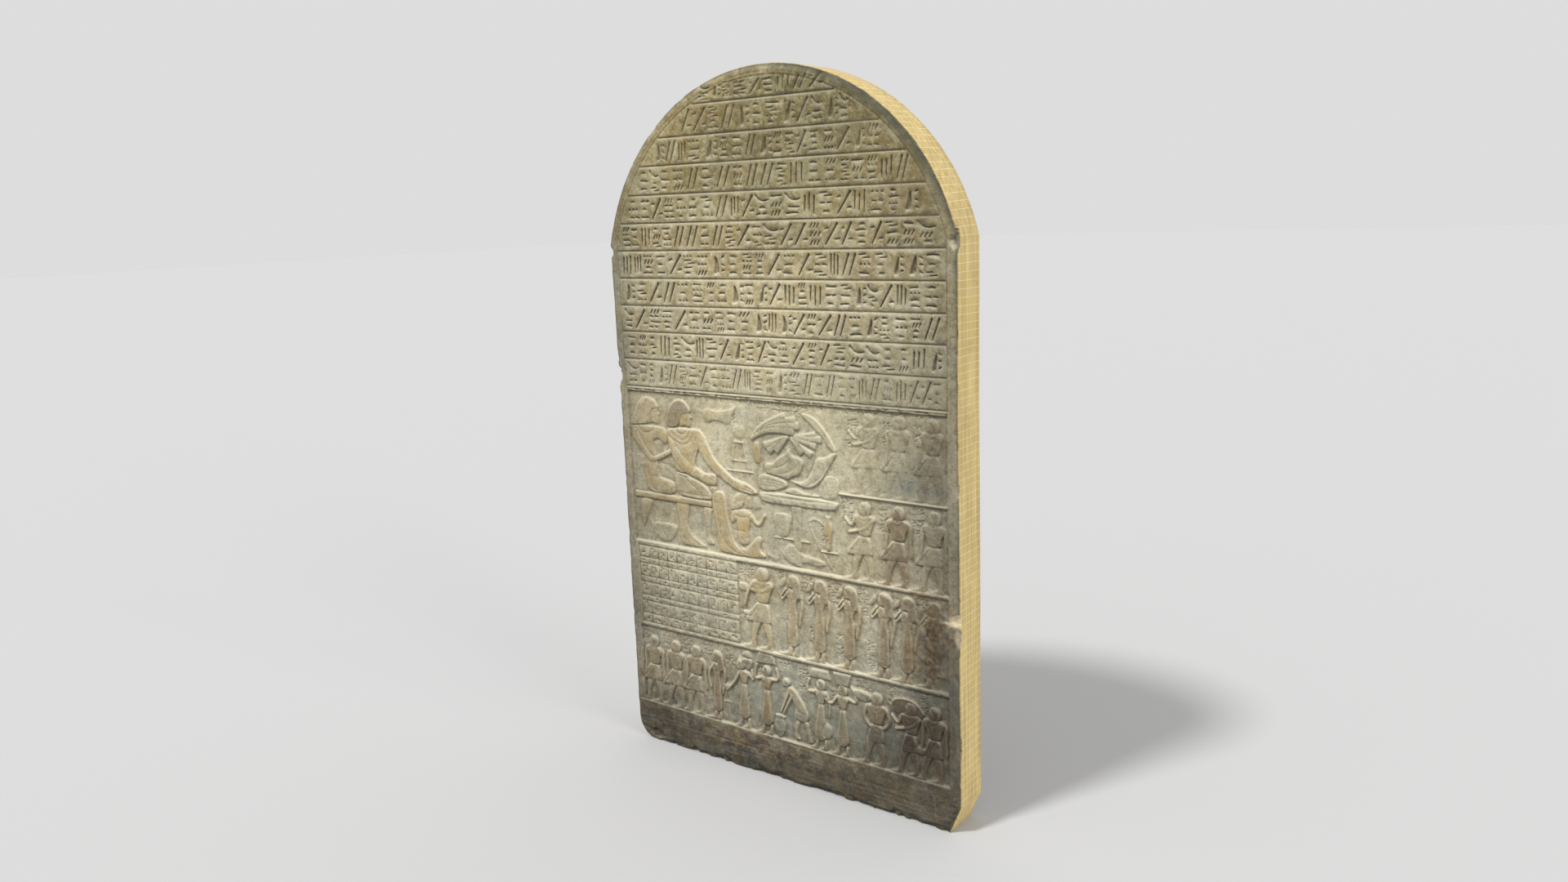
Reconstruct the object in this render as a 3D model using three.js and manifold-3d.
// A round-topped limestone stele, carved on one face and standing on its own underside.
// Millimetres, +Z up. The carved face looks towards -Y and the origin is the middle of the underside.

import * as THREE from 'three';
import { ConvexGeometry } from 'three/addons/geometries/ConvexGeometry.js';
import { mergeVertices } from 'three/addons/utils/BufferGeometryUtils.js';
import Module from 'manifold-3d';

const wasm = await Module();
wasm.setup();

// The slab
const HEIGHT = 1200;
const WIDTH = 688;
const THICKNESS = 70;
const ARCH_RISE = 270;
const ARCH_STEPS = 32;
const SIDE_STEPS = 7;
const SIDE_WANDER = 1.6;
const ARRIS_WEAR = 2;
const WORN_CORNER_WIDTH = 40;
const WORN_CORNER_HEIGHT = 45;
const WORN_CORNER_STEPS = 5;
const CHAMFER_WIDTH = 20;
const CHAMFER_HEIGHT = 48;

// The layout of the face, from the ground up
const BASE_BAND = 77;
const BOTTOM_REGISTER = 156;
const MIDDLE_REGISTER = 158;
const MAIN_SCENE = 279;
const UPPER_ATTENDANT_REGISTER = 138;
const UPPER_ATTENDANT_WIDTH = 195;
const TEXT_GAP = 7.4;
const ROW_PITCH = 47.2;
const BORDER = 19;

// Depths and lines of the carving; a flush form keeps the full height of the relief
const FIELD_DEPTH = 3.5;
const TABLE_GROUND_EXTRA = 0.2;
const FLUSH = 1;
const GROUND_LINE = 5;
const FRAME_LINE_WIDTH = 3;
const FRAME_LINE_DEPTH = 1.5;
const ROW_LINE_WIDTH = 2.6;
const ROW_LINE_DEPTH = 1.6;
const SIGN_WIDTH = 32;
const SIGN_MARGIN = 7;
const STROKE_WIDTH = 4.4;
const STROKE_DEPTH = 2.4;

// The ruled offering list
const LIST_WIDTH = 228;
const LIST_INSET = 8;
const LIST_COLUMNS = 10;
const LIST_HEIGHT = 147;
const LIST_FOOT = 2;
const LIST_TALL_ROW = 24;
const LIST_SHORT_ROW = 13;
const LIST_LINE_WIDTH = 1.8;
const LIST_COLUMN_LINE_DEPTH = 1.1;
const LIST_ROW_LINE_DEPTH = 1.5;

// Clear height above the heads in each register
const BOTTOM_HEADROOM = 19;
const MIDDLE_HEADROOM = 9;
const ATTENDANT_HEADROOM = 6;
const SEATED_HEADROOM = 11;

// Small overlaps that keep joins and cuts clean
const KEY = 0.6;
const CLEAR = 2;

// Levels and places worked out from the sizes above
const middleGround = BASE_BAND + BOTTOM_REGISTER;
const mainGround = middleGround + MIDDLE_REGISTER;
const sceneTop = mainGround + MAIN_SCENE;
const upperGround = sceneTop - UPPER_ATTENDANT_REGISTER;
const textBase = sceneTop + TEXT_GAP;
const fieldHalf = WIDTH / 2 - BORDER;
const fieldWidth = 2 * fieldHalf;
const listLeft = LIST_INSET - fieldHalf;
const listRight = listLeft + LIST_WIDTH;
const archRadius = (WIDTH * WIDTH / 4 + ARCH_RISE * ARCH_RISE) / (2 * ARCH_RISE);
const archCentre = HEIGHT - archRadius;
const springing = HEIGHT - ARCH_RISE;

// Place across the carved field, in hundredths of its width from the left
function across(share) {
  return (share / 100) * fieldWidth - fieldHalf;
}

// Joining and cutting closed shapes

function solid(geometry) {
  const bare = geometry.clone();
  bare.deleteAttribute('normal');
  bare.deleteAttribute('uv');
  const merged = mergeVertices(bare, 1e-4);
  const vertProperties = new Float32Array(merged.attributes.position.array);
  const triVerts = new Uint32Array(merged.index.array);
  return new wasm.Manifold(new wasm.Mesh({ numProp: 3, vertProperties, triVerts }));
}

function joined(solids) {
  let layer = solids;
  while (layer.length > 1) {
    const next = [];
    for (let i = 0; i < layer.length; i += 2) {
      next.push(i + 1 < layer.length ? layer[i].add(layer[i + 1]) : layer[i]);
    }
    layer = next;
  }
  return layer[0];
}

function geometryOf(manifold) {
  const mesh = manifold.getMesh();
  const geometry = new THREE.BufferGeometry();
  geometry.setAttribute('position', new THREE.BufferAttribute(new Float32Array(mesh.vertProperties), 3));
  geometry.setIndex(new THREE.BufferAttribute(new Uint32Array(mesh.triVerts), 1));
  geometry.computeVertexNormals();
  return geometry;
}

// Repeatable random numbers from 0 to 1
function randomFrom(seed) {
  let state = seed;
  return () => {
    state = (state * 1664525 + 1013904223) % 4294967296;
    return state / 4294967296;
  };
}

// The arched outline, drawn the given distance inside the edge

function archPoints(inset) {
  const radius = archRadius - inset;
  const half = WIDTH / 2 - inset;
  const start = Math.atan2(Math.sqrt(Math.max(radius * radius - half * half, 0)), half);
  const points = [];
  for (let i = 0; i <= ARCH_STEPS; i += 1) {
    const angle = start + ((Math.PI - 2 * start) * i) / ARCH_STEPS;
    points.push(new THREE.Vector2(radius * Math.cos(angle), archCentre + radius * Math.sin(angle)));
  }
  return points;
}

function halfChord(y, inset) {
  const radius = archRadius - inset;
  const rise = Math.max(y - archCentre, 0);
  const half = Math.sqrt(Math.max(radius * radius - rise * rise, 0));
  return y > springing ? Math.min(half, WIDTH / 2 - inset) : WIDTH / 2 - inset;
}

// How far a hand-dressed side edge runs inside the true line
function wander(share, phase) {
  return SIDE_WANDER * Math.sin(Math.PI * share) ** 2 * (1 + Math.sin(9 * share + phase)) / 2;
}

function slabOutline() {
  const points = [new THREE.Vector2(WIDTH / 2 - CHAMFER_WIDTH, 0)];
  for (let i = 0; i < SIDE_STEPS; i += 1) {
    const share = i / SIDE_STEPS;
    const y = CHAMFER_HEIGHT + (springing - CHAMFER_HEIGHT) * share;
    points.push(new THREE.Vector2(WIDTH / 2 - wander(share, 0.6), y));
  }
  points.push(...archPoints(0));
  for (let i = SIDE_STEPS - 1; i > 0; i -= 1) {
    const share = i / SIDE_STEPS;
    const y = WORN_CORNER_HEIGHT + (springing - WORN_CORNER_HEIGHT) * share;
    points.push(new THREE.Vector2(wander(share, 2.4) - WIDTH / 2, y));
  }
  for (let i = 0; i <= WORN_CORNER_STEPS; i += 1) {
    const angle = (Math.PI / 2) * (i / WORN_CORNER_STEPS);
    const x = WORN_CORNER_WIDTH * (1 - Math.cos(angle)) - WIDTH / 2;
    points.push(new THREE.Vector2(x, WORN_CORNER_HEIGHT * (1 - Math.sin(angle))));
  }
  return points;
}

// The blank slab: its front face lies in z = 0 and its back at minus the thickness
function blankSlab() {
  const geometry = new THREE.ExtrudeGeometry(new THREE.Shape(slabOutline()), {
    depth: THICKNESS - 2 * ARRIS_WEAR,
    bevelEnabled: true,
    bevelThickness: ARRIS_WEAR,
    bevelSize: ARRIS_WEAR,
    bevelOffset: -ARRIS_WEAR,
    bevelSegments: 1,
  });
  geometry.translate(0, 0, ARRIS_WEAR - THICKNESS);
  return solid(geometry);
}

// Cutting tools

function pocket(left, right, bottom, top, depth) {
  const geometry = new THREE.BoxGeometry(right - left, top - bottom, depth + CLEAR);
  geometry.translate((left + right) / 2, (bottom + top) / 2, (CLEAR - depth) / 2);
  return solid(geometry);
}

// A chisel stroke from one point to another: a trough whose two slopes meet along its middle
function stroke(x1, y1, x2, y2, width = STROKE_WIDTH, depth = STROKE_DEPTH) {
  const length = Math.hypot(x2 - x1, y2 - y1);
  const along = [(x2 - x1) / length, (y2 - y1) / length];
  const side = [-along[1] * width / 2, along[0] * width / 2];
  const taper = Math.min(width / 2, length / 3);
  const points = [];
  for (const [x, y, inward] of [[x1, y1, 1], [x2, y2, -1]]) {
    points.push(new THREE.Vector3(x + side[0], y + side[1], 0));
    points.push(new THREE.Vector3(x - side[0], y - side[1], 0));
    points.push(new THREE.Vector3(x + side[0], y + side[1], CLEAR));
    points.push(new THREE.Vector3(x - side[0], y - side[1], CLEAR));
    points.push(new THREE.Vector3(x + inward * along[0] * taper, y + inward * along[1] * taper, -depth));
  }
  return solid(new ConvexGeometry(points));
}

// A small drilled and flared dot
function dot(x, y, radius, depth = STROKE_DEPTH) {
  const sides = 6;
  const points = [new THREE.Vector3(x, y, -depth)];
  for (let i = 0; i < sides; i += 1) {
    const angle = (2 * Math.PI * i) / sides;
    points.push(new THREE.Vector3(x + radius * Math.cos(angle), y + radius * Math.sin(angle), 0));
    points.push(new THREE.Vector3(x + radius * Math.cos(angle), y + radius * Math.sin(angle), CLEAR));
  }
  return solid(new ConvexGeometry(points));
}

// A broken-out lump of stone, taken off an edge
function chip(x, y, z, reachX, reachY, reachZ, seed) {
  const random = randomFrom(seed);
  const corners = 12;
  const points = [];
  for (let i = 0; i < corners; i += 1) {
    const height = 1 - (2 * (i + 0.5)) / corners;
    const turn = 2.4 * i;
    const ring = Math.sqrt(1 - height * height);
    const rough = 0.75 + 0.25 * random();
    points.push(new THREE.Vector3(
      x + reachX * rough * ring * Math.cos(turn),
      y + reachY * rough * ring * Math.sin(turn),
      z + reachZ * rough * height,
    ));
  }
  return solid(new ConvexGeometry(points));
}

// Raised relief

// A form standing on the sunk ground; level 1 brings its top flush with the face
function raised(outline, level) {
  const height = KEY + FIELD_DEPTH * level;
  const shape = new THREE.Shape(outline.map(([x, y]) => new THREE.Vector2(x, y)));
  const geometry = new THREE.ExtrudeGeometry(shape, { depth: height, bevelEnabled: false });
  geometry.computeBoundingBox();
  geometry.translate(0, 0, FIELD_DEPTH * (level - 1) - geometry.boundingBox.max.z);
  return solid(geometry);
}

// The two sides of a bent limb through its joints, mitred at each bend, as one closed outline
function limbOutline(joints, startWidth, endWidth) {
  const normals = joints.slice(1).map(([u, v], i) => {
    const [fromU, fromV] = joints[i];
    const length = Math.hypot(u - fromU, v - fromV);
    return [(fromV - v) / length, (u - fromU) / length];
  });
  const near = [];
  const far = [];
  joints.forEach(([u, v], i) => {
    const before = normals[Math.max(i - 1, 0)];
    const after = normals[Math.min(i, normals.length - 1)];
    const half = (startWidth + ((endWidth - startWidth) * i) / (joints.length - 1)) / 2;
    const mitre = half / (1 + before[0] * after[0] + before[1] * after[1]);
    const sideU = (before[0] + after[0]) * mitre;
    const sideV = (before[1] + after[1]) * mitre;
    near.push([u + sideU, v + sideV]);
    far.unshift([u - sideU, v - sideV]);
  });
  return [...near, ...far];
}

// A carver works in a frame of its own: u is forward and v is up, in hundredths of its height.
// The frame starts a little below the ground line, so that feet run into it.
function carver(x, ground, height, facing) {
  const forms = [];
  const place = ([u, v]) => [x + (facing * u * height) / 100, ground - KEY + (v * height) / 100];
  return {
    forms,
    form(outline, level) {
      forms.push(raised(outline.map(place), level));
    },
    limb(joints, startWidth, endWidth, level) {
      forms.push(raised(limbOutline(joints, startWidth, endWidth).map(place), level));
    },
  };
}

// The outlines that the figures share, each running from the back of the figure to its front

function legAndFoot(hip, hipWidth, ankle, hem, foot = 15) {
  return [
    [hip - hipWidth / 2, hem],
    [ankle - 2.8, 4],
    [ankle - 3.4, 0],
    [ankle + foot, 0],
    [ankle + 3, 5],
    [hip + hipWidth / 2, hem],
  ];
}

// The head in profile under a full wig, running from the chest over the crown to the back
function headOutline(u, v, size) {
  const at = (a, b) => [u + a * size, v + b * size];
  return [
    at(0.12, -0.5),
    at(0.42, -0.38),
    at(0.54, -0.06),
    at(0.44, 0.22),
    at(0.2, 0.46),
    at(-0.22, 0.48),
    at(-0.52, 0.16),
    at(-0.5, -0.46),
  ];
}

// A hanging arm: from the armpit down to the hand and back up to the shoulder, or the reverse
function hangingArm(side) {
  return [[9.5, 74], [15.5, 58], [14.5, 41], [18.5, 41], [20.5, 60], [17, 79], [13, 83]]
    .map(([u, v]) => [u * side, v]);
}

const waistHeight = 57;
const hemHeight = 34;

// A striding man in a kilt; arms that cross the body are given by their joints instead of hanging
function man(carve, { arms = [], flare = 22, headSize = 17 } = {}) {
  const hanging = arms.length === 0;
  const plainShoulder = (side) => [[16 * side, 79], [13 * side, 83]];
  const upper = hanging ? hangingArm : plainShoulder;
  carve.form([
    [-10, hemHeight],
    ...legAndFoot(-4, 9, -7, hemHeight),
    ...legAndFoot(10, 9, 13, hemHeight),
    [flare, hemHeight],
    [8, waistHeight],
    ...upper(1),
    ...headOutline(0, 91.5, headSize),
    ...upper(-1).reverse(),
    [-7, waistHeight],
  ], FLUSH);
  for (const joints of arms) {
    carve.limb(joints, 6, 3.6, FLUSH);
  }
}

// A woman in a narrow ankle-length dress and a long wig, one arm hanging
function woman(carve, raisedArm) {
  carve.form([
    [-7, 50],
    [-5, 9],
    [-6, 0],
    [18, 0],
    [4, 8],
    [6, 50],
    [4, 62],
    [9, 80],
    [4, 82],
    ...headOutline(0, 92, 15),
    [-13, 82],
    [-18, 66],
    [-14, 42],
    [-10, 42],
    [-13, 62],
    [-9, 72],
    [-4, 62],
  ], FLUSH);
  carve.limb(raisedArm, 5, 3.4, FLUSH);
}

// A woman in a flared skirt, who carries a load on her head
function porter(carve, arms) {
  carve.form([
    [-9, 17],
    ...legAndFoot(-6, 5, -7, 17, 10),
    ...legAndFoot(7, 5, 8, 17, 10),
    [11, 17],
    [7, 45],
    [4, 60],
    [11, 77],
    [7, 80],
    ...headOutline(0, 87, 14),
    [-8, 80],
    [-12, 77],
    [-4, 60],
    [-6, 45],
  ], FLUSH);
  for (const joints of arms) {
    carve.limb(joints, 5, 3.4, FLUSH);
  }
}

// The man who bends down to a jar
function bendingMan(carve) {
  carve.form([
    [-32, 36],
    ...legAndFoot(-27, 8, -29, 35),
    ...legAndFoot(-15, 8, -10, 35),
    [-11, 37],
    [-10, 52],
    [0, 70],
    [7, 73],
    [9, 80],
    [5, 87],
    [-3, 86],
    [-6, 79],
    [-18, 72],
    [-31, 55],
  ], FLUSH);
  carve.limb([[-6, 70], [3, 52], [14, 34]], 7, 4, FLUSH);
  carve.form([[14, 0], [18, 14], [14, 26], [20, 31], [6, 31], [10, 26], [6, 14], [10, 0]], FLUSH);
}

// The seated man in front, facing the table, both arms held forward
function seatedMan(carve) {
  carve.form([
    [-5, 34],
    [22, 34],
    [28, 30],
    [30, 5],
    [28, 0],
    [64, 0],
    [40, 6],
    [37, 36],
    [34, 42],
    [10, 54],
    [17, 78],
    [13, 81],
    ...headOutline(-2, 90.5, 20),
    [-13, 81],
    [-15, 77],
    [-7, 52],
  ], 0.85);
  carve.limb([[-12, 76], [1, 58], [25, 52]], 8, 4, 1);
  carve.limb([[15, 78], [28, 57], [46, 48], [62, 43]], 7, 2.6, 1);
}

// The companion seated behind, with an arm across to the man's shoulder
function seatedCompanion(carve) {
  carve.form([
    [-42, 34],
    [-10, 34],
    [-5, 28],
    [-4, 0],
    [19, 0],
    [4, 6],
    [2, 36],
    [-6, 46],
    [-24, 50],
    [-18, 73],
    [-22, 80],
    ...headOutline(-32, 89, 21),
    [-46, 77],
    [-44, 44],
  ], 0.7);
  carve.limb([[-44, 74], [-28, 55], [-5, 67]], 7, 4, 0.85);
}

function seat(carve) {
  carve.form([[-46, 29], [-46, 60], [-43, 60], [-42, 33], [22, 33], [22, 29]], 0.8);
  carve.limb([[18, 30], [21, 6]], 7, 4, 0.8);
  carve.limb([[-36, 30], [-39, 9]], 10, 4, 0.8);
  carve.form([[-34, 13], [-8, 13], [-12, 3], [-21, 0.5], [-30, 3]], 0.75);
}

// The small figure that kneels before the couple's feet
function kneelingFigure(carve) {
  carve.form([
    [-16, 0],
    [56, 0],
    [58, 4],
    [30, 18],
    [9, 30],
    [13, 60],
    [4, 66],
    ...headOutline(-2, 84, 30),
    [-14, 62],
    [-8, 30],
    [-20, 12],
  ], 0.75);
  carve.limb([[8, 60], [30, 44], [42, 66]], 8, 5, 1);
}

// Offerings, furniture and vessels

function jarStand(carve) {
  carve.form([[-30, 0], [-30, 6], [30, 6], [30, 0]], 0.8);
  carve.form([[-26, 6], [-14, 74], [-20, 86], [-12, 98], [12, 98], [20, 86], [14, 74], [26, 6]], 0.75);
}

function bowlStand(carve) {
  carve.form([[-26, 0], [-14, 70], [-24, 96], [24, 96], [14, 70], [26, 0], [16, 0], [0, 60], [-16, 0]], 0.85);
}

function fan(carve) {
  carve.form([[0, 16], [0, 84], [12, 74], [60, 62], [104, 60], [104, 50], [60, 42], [12, 22]], 0.6);
}

function offeringTable(carve) {
  carve.form([
    [-9, 6],
    [-8, 84],
    [-54, 84],
    [-60, 90],
    [-60, 97],
    [68, 97],
    [68, 90],
    [62, 84],
    [10, 84],
    [11, 6],
  ], 0.85);
  carve.form([[-38, 40], [-38, 44], [-14, 44], [-14, 40]], 0.85);
  carve.form([[-38, 75], [-12, 75], [-20, 44], [-30, 44]], 0.8);
  carve.form([[14, 68], [20, 68], [26, 44], [12, 44]], 0.75);
  carve.form([[41, 26], [41, 30], [64, 30], [64, 26]], 0.8);
  carve.form([[46, 30], [43, 46], [46, 76], [58, 76], [61, 46], [56, 30]], 0.9);
  carve.limb([[24, 62], [50, 8]], 3.4, 3.4, 0.8);
  carve.form([[-32, 4], [-26, 20], [-12, 24], [-12, 4]], 0.65);
  carve.form([[14, 4], [14, 20], [34, 6]], 0.65);
}

// The heap above the table: bundles, joints of meat, a dressed bird and loaves
function offerings(carve) {
  carve.form([[-58, 4], [-60, 12], [-54, 18], [-10, 18], [-6, 10], [-10, 4]], 0.75);
  carve.form([[36, 4], [34, 20], [44, 32], [56, 28], [58, 4]], 0.7);
  carve.form([[-49, 26], [-46, 42], [-28, 54], [0, 50], [6, 38], [-10, 23], [-34, 20]], 0.85);
  carve.limb([[-4, 14], [24, 16], [56, 52]], 12, 7, 0.9);
  carve.limb([[14, 100], [48, 76], [62, 60]], 13, 5, 0.8);
  carve.form([[-46, 64], [-40, 72], [-22, 68], [-18, 57], [-30, 56]], 0.85);
  carve.form([[-8, 56], [-10, 64], [24, 72], [34, 64], [20, 54]], 0.85);
  carve.form([[0, 76], [0, 82], [18, 84], [18, 76]], 0.8);
  carve.limb([[-66, 64], [-40, 84], [2, 90]], 12, 10, 0.95);
  carve.form([[-66, 32], [-68, 52], [-56, 52], [-58, 32]], 0.7);
}

// Loads on the porters' heads

function basket(carve) {
  carve.form([[-11, 0], [-15, 12], [-8, 18], [8, 18], [15, 12], [11, 0]], 0.9);
}

function heapedBasket(carve) {
  carve.form([[-10, 0], [-14, 15], [-9, 27], [8, 27], [13, 15], [10, 0]], 0.9);
}

function tray(carve) {
  carve.form([[-20, 0], [-16, 15], [15, 15], [21, 0]], 0.85);
}

// The registers

function mainScene() {
  const coupleHeight = MAIN_SCENE - SEATED_HEADROOM;
  const seated = carver(across(19), mainGround, coupleHeight, 1);
  seat(seated);
  seatedCompanion(seated);
  seatedMan(seated);
  const kneeling = carver(across(39.8), mainGround, coupleHeight * 0.42, 1);
  kneelingFigure(kneeling);
  const stand = carver(across(38.6), mainGround + coupleHeight * 0.57, coupleHeight * 0.3, 1);
  jarStand(stand);
  const held = carver(across(27), mainGround + coupleHeight * 0.83, coupleHeight * 0.26, 1);
  fan(held);
  const tableHeight = coupleHeight * 0.5;
  const table = carver(across(57), mainGround, tableHeight, 1);
  offeringTable(table);
  const heap = carver(across(57), mainGround + tableHeight * 0.96, tableHeight, 1);
  offerings(heap);
  const forms = [seated, kneeling, stand, held, table, heap];

  const upperHeight = UPPER_ATTENDANT_REGISTER - ATTENDANT_HEADROOM;
  const crossed = [[[13, 80], [18, 66], [-2, 73]], [[-13, 80], [-16, 63], [8, 64]]];
  for (const share of [78.5, 86.9, 95.8]) {
    const attendant = carver(across(share), upperGround, upperHeight, -1);
    man(attendant, { arms: share < 80 ? crossed : [] });
    forms.push(attendant);
  }
  const lowerHeight = upperGround - GROUND_LINE - mainGround - ATTENDANT_HEADROOM;
  const offering = [[[13, 80], [20, 64], [34, 74]], [[-13, 80], [2, 66], [-16, 60]]];
  for (const share of [76.9, 86.5, 95.8]) {
    const attendant = carver(across(share), mainGround, lowerHeight, -1);
    man(attendant, { arms: share < 80 ? offering : [] });
    forms.push(attendant);
  }
  return forms.flatMap((group) => group.forms);
}

function middleRegister() {
  const height = MIDDLE_REGISTER - GROUND_LINE - MIDDLE_HEADROOM;
  const leader = carver(across(44.6), middleGround, height, -1);
  man(leader, { arms: [[[14, 80], [20, 70], [26, 44]], [[-14, 80], [2, 71], [34, 76]]], flare: 24 });
  const forms = [leader];
  for (const share of [54.3, 62.8, 71.8, 81.8, 88.3]) {
    const mourner = carver(across(share), middleGround, height, -1);
    woman(mourner, [[6, 78], [18, 67], [9, 88]]);
    forms.push(mourner);
  }
  return forms.flatMap((group) => group.forms);
}

function bottomRegister() {
  const height = BOTTOM_REGISTER - GROUND_LINE - BOTTOM_HEADROOM;
  const forms = [];
  const add = (share, carving, options) => {
    const figure = carver(across(share), BASE_BAND, height, -1);
    carving(figure, options);
    forms.push(figure);
  };
  const addLoad = (share, lift, load) => {
    const carried = carver(across(share), BASE_BAND + (height * lift) / 100, height, -1);
    load(carried);
    forms.push(carried);
  };
  for (const share of [4.6, 12.6, 20]) {
    add(share, man);
  }
  add(27.5, woman, [[6, 78], [17, 68], [10, 58]]);
  const stand = carver(across(31), BASE_BAND + height * 0.2, height * 0.38, 1);
  bowlStand(stand);
  forms.push(stand);
  add(37.6, porter, [[[9, 77], [15, 58], [25, 46]], [[-8, 77], [-19, 66], [-14, 82]]]);
  addLoad(39, 83, heapedBasket);
  add(44.6, porter, [[[8, 76], [20, 74], [15, 94]], [[-8, 76], [-20, 75], [-14, 94]]]);
  addLoad(44.6, 96, tray);
  add(51.3, bendingMan);
  add(61.4, porter, [[[8, 76], [20, 73], [14, 92]], [[-8, 76], [-15, 60], [-11, 46]]]);
  addLoad(62, 96, tray);
  add(69.2, porter, [[[9, 77], [18, 64], [28, 78]], [[-8, 77], [-20, 78], [-12, 94]]]);
  addLoad(69.2, 94, basket);
  add(78.8, man, { arms: [[[14, 80], [22, 62], [10, 56]], [[-14, 80], [-21, 62], [-9, 56]]], headSize: 15 });
  add(88.5, man, { arms: [[[13, 80], [20, 70], [26, 58]], [[-13, 80], [-20, 68], [-10, 64]]] });
  add(95.6, man);
  return forms.flatMap((group) => group.forms);
}

// The sunk parts of the face; the ground round the table is cut a little deeper than the rest

function sunkFields() {
  const reach = fieldHalf + KEY;
  const besideTable = across(48.5);
  return [
    pocket(-reach, reach, BASE_BAND, middleGround - GROUND_LINE, FIELD_DEPTH),
    pocket(listRight, reach, middleGround, mainGround - GROUND_LINE, FIELD_DEPTH),
    pocket(-reach, besideTable, mainGround, sceneTop, FIELD_DEPTH),
    pocket(besideTable, reach, mainGround, sceneTop, FIELD_DEPTH + TABLE_GROUND_EXTRA),
  ];
}

// The line that frames the carving, parallel to the edge from the base band round the arch
function frameLine() {
  const outer = archPoints(BORDER - FRAME_LINE_WIDTH);
  const inner = archPoints(BORDER);
  const foot = BASE_BAND - GROUND_LINE;
  const outline = [new THREE.Vector2(fieldHalf + FRAME_LINE_WIDTH, foot), ...outer];
  outline.push(new THREE.Vector2(-fieldHalf - FRAME_LINE_WIDTH, foot));
  outline.push(new THREE.Vector2(-fieldHalf, foot));
  outline.push(...inner.reverse());
  outline.push(new THREE.Vector2(fieldHalf, foot));
  const depth = FRAME_LINE_DEPTH + CLEAR;
  const geometry = new THREE.ExtrudeGeometry(new THREE.Shape(outline), { depth, bevelEnabled: false });
  geometry.translate(0, 0, -FRAME_LINE_DEPTH);
  return solid(geometry);
}

// One group of strokes in the place of a sign, in a cell given by its left edge and its foot
function signStrokes(kind, left, foot, width, height) {
  const at = (u, v) => [left + u * width, foot + v * height];
  const mark = (u1, v1, u2, v2, broad) => stroke(...at(u1, v1), ...at(u2, v2), broad);
  const kinds = [
    () => [mark(0.05, 0.05, 0.85, 0.95)],
    () => [mark(0, 0.8, 0.95, 0.8), mark(0, 0.3, 0.95, 0.3)],
    () => [mark(0.45, 0.05, 0.45, 0.95)],
    () => [dot(...at(0.45, 0.5), height * 0.2)],
    () => [mark(0.1, 0.1, 0.6, 0.9, STROKE_WIDTH * 1.5)],
    () => [mark(0, 0.45, 1, 0.45)],
  ];
  return kinds[kind]();
}

function inscription() {
  const cuts = [];
  const random = randomFrom(11);
  const innerTop = HEIGHT - BORDER;
  const capRoom = SIGN_MARGIN * 2.5;
  let kind = 0;
  for (let line = textBase; line < innerTop - capRoom; line += ROW_PITCH) {
    const half = halfChord(line, BORDER);
    cuts.push(stroke(-half, line, half, line, ROW_LINE_WIDTH, ROW_LINE_DEPTH));
    const top = Math.min(line + ROW_PITCH, innerTop - SIGN_MARGIN);
    const reach = halfChord(top, BORDER) - SIGN_MARGIN;
    const signHeight = top - line - 2 * SIGN_MARGIN;
    const signs = Math.max(Math.floor((2 * reach) / SIGN_WIDTH), 0);
    const pitch = (2 * reach) / Math.max(signs, 1);
    for (let i = 0; i < signs; i += 1) {
      kind = (kind + 1 + Math.floor(random() * 5)) % 6;
      const left = -reach + (i + 0.12) * pitch;
      cuts.push(...signStrokes(kind, left, line + SIGN_MARGIN, pitch * 0.72, signHeight));
    }
  }
  return cuts;
}

function offeringList() {
  const cuts = [];
  const foot = middleGround + LIST_FOOT;
  const top = foot + LIST_HEIGHT;
  for (let i = 0; i <= LIST_COLUMNS; i += 1) {
    const x = listLeft + (i * LIST_WIDTH) / LIST_COLUMNS;
    cuts.push(stroke(x, foot, x, top, LIST_LINE_WIDTH, LIST_COLUMN_LINE_DEPTH));
  }
  let tall = true;
  for (let y = foot; y <= top; y += tall ? LIST_SHORT_ROW : LIST_TALL_ROW) {
    cuts.push(stroke(listLeft, y, listRight, y, LIST_LINE_WIDTH, LIST_ROW_LINE_DEPTH));
    tall = !tall;
  }
  return cuts;
}

// Old damage: breaks along both sides and small losses along the lower front edge
function damage() {
  const side = WIDTH / 2;
  const cuts = [
    chip(side + 4, mainGround - 36, 2, 34, 15, 14, 3),
    chip(side + 6, springing - 4, 4, 16, 26, 12, 5),
    chip(-side - 5, sceneTop + 24, 4, 14, 19, 12, 7),
    chip(-side - 5, springing - 16, 3, 12, 9, 10, 9),
  ];
  for (const [share, reach, seed] of [[20, 11, 21], [34, 7, 22], [52, 9, 23], [66, 16, 24], [86, 10, 25]]) {
    cuts.push(chip(across(share), -1, 2, reach, reach * 0.5, reach * 0.7, seed));
  }
  return cuts;
}

function stele() {
  const carvedGround = blankSlab().subtract(joined(sunkFields()));
  const upperStrip = raised([
    [fieldHalf - UPPER_ATTENDANT_WIDTH, upperGround],
    [fieldHalf - UPPER_ATTENDANT_WIDTH, upperGround - GROUND_LINE],
    [fieldHalf, upperGround - GROUND_LINE],
    [fieldHalf, upperGround],
  ], 1);
  const relief = joined([...mainScene(), ...middleRegister(), ...bottomRegister(), upperStrip]);
  const cuts = joined([frameLine(), ...inscription(), ...offeringList(), ...damage()]);
  return carvedGround.add(relief).subtract(cuts);
}

const limestone = new THREE.MeshStandardMaterial({ color: 0xb9ad8c, roughness: 0.88, metalness: 0 });

const slab = new THREE.Mesh(geometryOf(stele()), limestone);
slab.name = 'stele_slab';
slab.rotation.x = Math.PI / 2;
slab.position.y = -THICKNESS / 2;

const model = new THREE.Group();
model.add(slab);

export default model;
